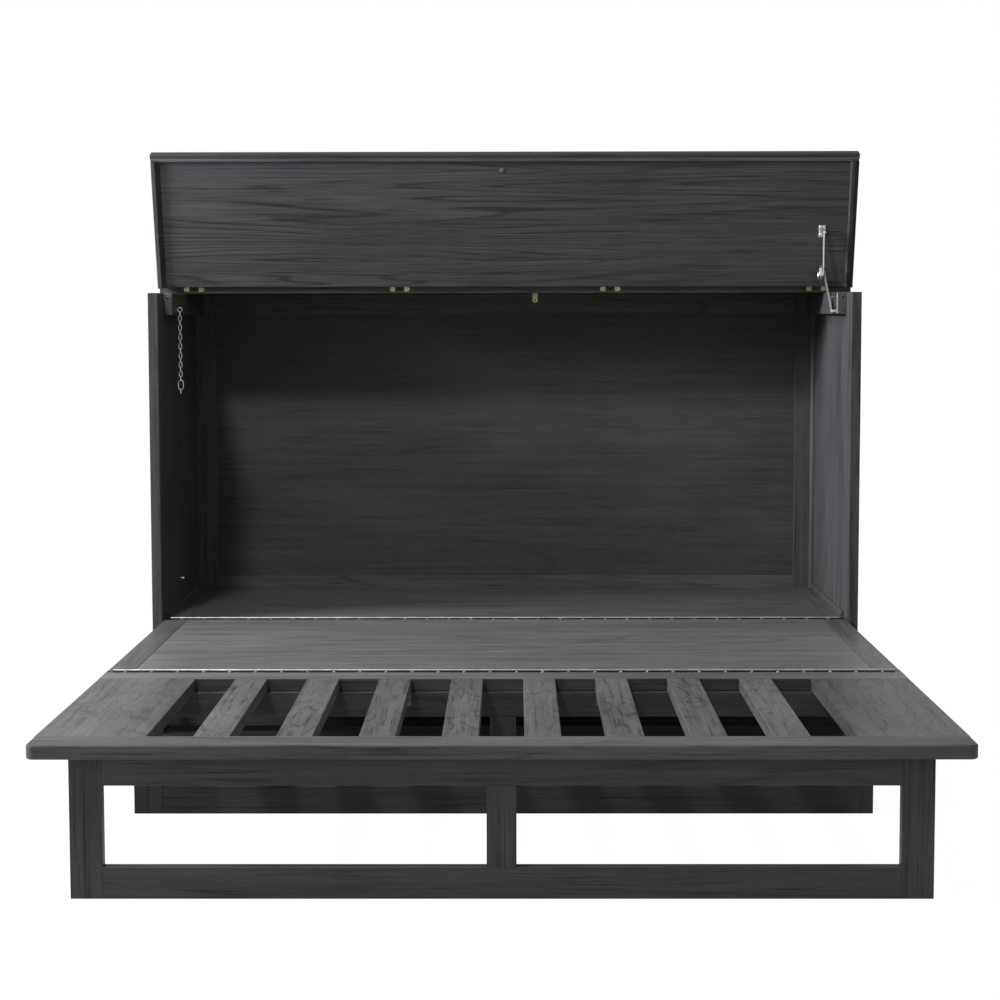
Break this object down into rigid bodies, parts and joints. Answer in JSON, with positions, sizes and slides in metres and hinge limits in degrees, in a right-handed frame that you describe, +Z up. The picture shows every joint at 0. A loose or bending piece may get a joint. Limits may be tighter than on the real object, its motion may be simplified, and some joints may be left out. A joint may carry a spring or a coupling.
{
  "type": "cabinet bed",
  "caption": "Cabinet bed whose hinged platform unfolds from a low chest onto folding frame legs, with a slatted outer panel and a lid held open by a jointed stay.",
  "frame": {"origin": "on the floor, below the middle of the unfolded bed", "axes": "+X to the right seen from the foot end, +Y from the foot end to the back of the chest, +Z up"},
  "size_m": [1.641, 2.05, 1.3279],
  "materials": {
    "chest_wood": "charcoal stain, satin",
    "back_wood": "charcoal stain, satin",
    "deck_wood": "grey stain, satin",
    "slat_wood": "grey stain, satin",
    "leg_wood": "charcoal stain, satin",
    "top_wood": "charcoal stain, satin",
    "zinc_steel": "zinc plated",
    "bright_steel": "bright plated",
    "brass": "satin",
    "bumper": "soft clear"
  },
  "bodies": {
    "cabinet": {"side_panel_left": "chest_wood", "side_panel_right": "chest_wood", "back_stile_left": "back_wood", "back_stile_right": "back_wood", "back_top_rail": "back_wood", "back_bottom_rail": "back_wood", "back_field": "back_wood", "deck_field": "deck_wood", "deck_stiles": "deck_wood", "base_front_apron": "chest_wood", "base_back_apron": "chest_wood", "top_cleat_left": "chest_wood", "top_cleat_right": "chest_wood", "inner_beads": "chest_wood", "rear_top_board": "top_wood", "rear_top_edges": "top_wood", "lid_hinge_cups": "brass", "lid_catch": "brass", "stay_cabinet_bracket": "zinc_steel", "cabinet_screws": "zinc_steel", "chain_eye": "bright_steel", "deck_hinge_leaf": "zinc_steel", "deck_hinge_pin": "zinc_steel"},
    "lid": {"lid_board": "top_wood", "lid_front_edge": "top_wood", "lid_left_edge": "top_wood", "lid_right_edge": "top_wood", "lid_bumper": "bumper", "lid_hinge_arms": "brass", "stay_lid_bracket": "zinc_steel"},
    "stay_upper": {"stay_upper_arm": "zinc_steel", "stay_brake_disc": "bright_steel"},
    "stay_lower": {"stay_lower_arm": "zinc_steel"},
    "front_panel": {"front_panel_field": "deck_wood", "front_panel_stile_left": "deck_wood", "front_panel_stile_right": "deck_wood", "front_panel_hinge_leaf": "zinc_steel", "fold_hinge_leaf": "zinc_steel", "fold_hinge_pin": "zinc_steel"},
    "slat_panel": {"slat_panel_rear_rail": "slat_wood", "slat_panel_front_rail": "slat_wood", "slat_panel_side_left": "slat_wood", "slat_panel_side_right": "slat_wood", "slats": "slat_wood", "slat_panel_hinge_leaf": "zinc_steel", "leg_hinge_plates": "zinc_steel"},
    "front_leg": {"front_leg_top_rail": "leg_wood", "front_leg_bottom_rail": "leg_wood", "front_leg_stile_left": "leg_wood", "front_leg_stile_right": "leg_wood", "front_leg_middle_stile": "leg_wood", "front_leg_hinge_leaves": "zinc_steel"},
    "middle_leg": {"middle_leg_top_rail": "leg_wood", "middle_leg_bottom_rail": "leg_wood", "middle_leg_stile_left": "leg_wood", "middle_leg_stile_right": "leg_wood", "middle_leg_middle_stile": "leg_wood", "middle_leg_hinge_leaves": "zinc_steel"},
    "chain": {"safety_chain": "bright_steel", "chain_snap": "bright_steel"}
  },
  "joints": [
    {"name": "lid_hinge", "type": "hinge", "parent": "cabinet", "child": "lid", "pos_m": [0, 0.715, 1.021], "axis": [1, 0, 0], "range_deg": [0, 74]},
    {"name": "front_panel_fold", "type": "hinge", "parent": "cabinet", "child": "front_panel", "pos_m": [0, 0.442, 0.262], "axis": [-1, 0, 0], "range_deg": [0, 90]},
    {"name": "slat_panel_fold", "type": "hinge", "parent": "front_panel", "child": "slat_panel", "pos_m": [0, -0.292, 0.262], "axis": [-1, 0, 0], "range_deg": [0, 180]},
    {"name": "front_leg_fold", "type": "hinge", "parent": "slat_panel", "child": "front_leg", "pos_m": [0, -0.9774, 0.2334], "axis": [1, 0, 0], "range_deg": [0, 90]},
    {"name": "middle_leg_fold", "type": "hinge", "parent": "slat_panel", "child": "middle_leg", "pos_m": [0, -0.3906, 0.2334], "axis": [-1, 0, 0], "range_deg": [0, 90]},
    {"name": "chain_swing", "type": "hinge", "parent": "cabinet", "child": "chain", "pos_m": [-0.751, 0.565, 0.958], "axis": [1, 0, 0], "range_deg": [-25, 25]},
    {"name": "stay_lower_swing", "type": "hinge", "parent": "cabinet", "child": "stay_lower", "pos_m": [0.7486, 0.531, 0.9575], "axis": [1, 0, 0], "range_deg": [-28, 1]},
    {"name": "stay_upper_swing", "type": "hinge", "parent": "lid", "child": "stay_upper", "pos_m": [0.7458, 0.64682, 1.14085], "axis": [1, 0, 0], "range_deg": [-1, 10]}
  ],
  "couplings": [
    {"joint": "stay_lower_swing", "follows": "lid_hinge", "ratio": -0.36681},
    {"joint": "stay_upper_swing", "follows": "lid_hinge", "ratio": 0.12334}
  ]
}
